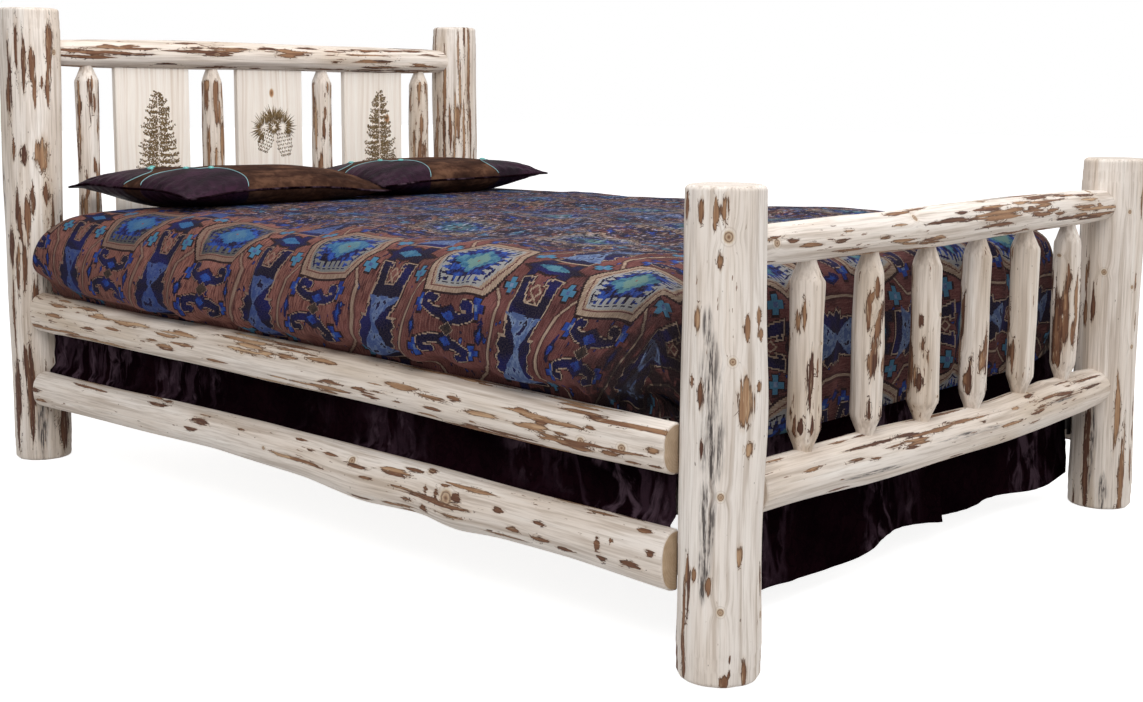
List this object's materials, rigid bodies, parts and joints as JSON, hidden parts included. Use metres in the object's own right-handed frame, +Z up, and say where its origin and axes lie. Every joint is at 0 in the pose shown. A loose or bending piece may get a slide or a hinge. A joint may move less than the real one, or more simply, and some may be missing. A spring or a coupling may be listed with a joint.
{
  "type": "rustic log bed",
  "caption": "Queen size bed of peeled logs with half log side rails, a spindled foot, a headboard with engraved boards, and a mattress, patterned comforter, pillows and skirt.",
  "frame": {"origin": "on the floor, under the middle of the bed's outer box", "axes": "+Y from the foot end to the head end, +X to the right as seen from the foot end, +Z up"},
  "size_m": [1.68, 2.4374, 1.194],
  "materials": {
    "peeled_log": "hand peeled pine with brown patches of inner bark, small knots and a clear satin coat",
    "panel_board": "pale washed flat board with an engraved and toned motif, satin",
    "sawn_timber": "plain sawn softwood, not coated",
    "black_steel": "black powder coat",
    "zinc_steel": "bright zinc plate",
    "ticking": "plain off-white woven ticking",
    "deck_cloth": "plain dark lining cloth",
    "skirt_hide": "very dark plum hide, softly creased, low sheen",
    "woven_comforter": "rust brown ground with blue traditional geometric figures, woven, matt",
    "pillow_suede": "dark brown suede with dark hide corners, pale blue cord and studs"
  },
  "bodies": {
    "bed": {"box_spring": "ticking", "bracket_bolts": "zinc_steel", "bracket_screws": "zinc_steel", "centre_beam": "sawn_timber", "centre_legs": "sawn_timber", "comforter": "woven_comforter", "foot_lower_rail": "peeled_log", "foot_post_left": "peeled_log", "foot_post_right": "peeled_log", "foot_spindle_1": "peeled_log", "foot_spindle_2": "peeled_log", "foot_spindle_3": "peeled_log", "foot_spindle_4": "peeled_log", "foot_spindle_5": "peeled_log", "foot_spindle_6": "peeled_log", "foot_top_rail": "peeled_log", "head_lower_rail": "peeled_log", "head_panel_centre": "panel_board", "head_panel_left": "panel_board", "head_panel_right": "panel_board", "head_post_left": "peeled_log", "head_post_right": "peeled_log", "head_spindle_1": "peeled_log", "head_spindle_2": "peeled_log", "head_spindle_3": "peeled_log", "head_spindle_4": "peeled_log", "head_top_rail": "peeled_log", "ledger_left": "sawn_timber", "ledger_right": "sawn_timber", "ledger_screws": "zinc_steel", "mattress": "ticking", "rail_brackets_left": "black_steel", "rail_brackets_right": "black_steel", "side_rail_lower_left": "peeled_log", "side_rail_lower_right": "peeled_log", "side_rail_upper_left": "peeled_log", "side_rail_upper_right": "peeled_log", "skirt_deck": "deck_cloth", "skirt_foot": "skirt_hide", "skirt_left": "skirt_hide", "skirt_right": "skirt_hide", "slat_1": "sawn_timber", "slat_2": "sawn_timber", "slat_3": "sawn_timber", "slat_4": "sawn_timber", "slat_5": "sawn_timber"},
    "pillow_left": {"pillow_left": "pillow_suede"},
    "pillow_right": {"pillow_right": "pillow_suede"}
  },
  "joints": [
    {"name": "pillow_left_lift", "type": "slide", "parent": "bed", "child": "pillow_left", "axis": [0, 0, 1], "range_m": [0, 0.4]},
    {"name": "pillow_right_lift", "type": "slide", "parent": "bed", "child": "pillow_right", "axis": [0, 0, 1], "range_m": [0, 0.4]}
  ]
}
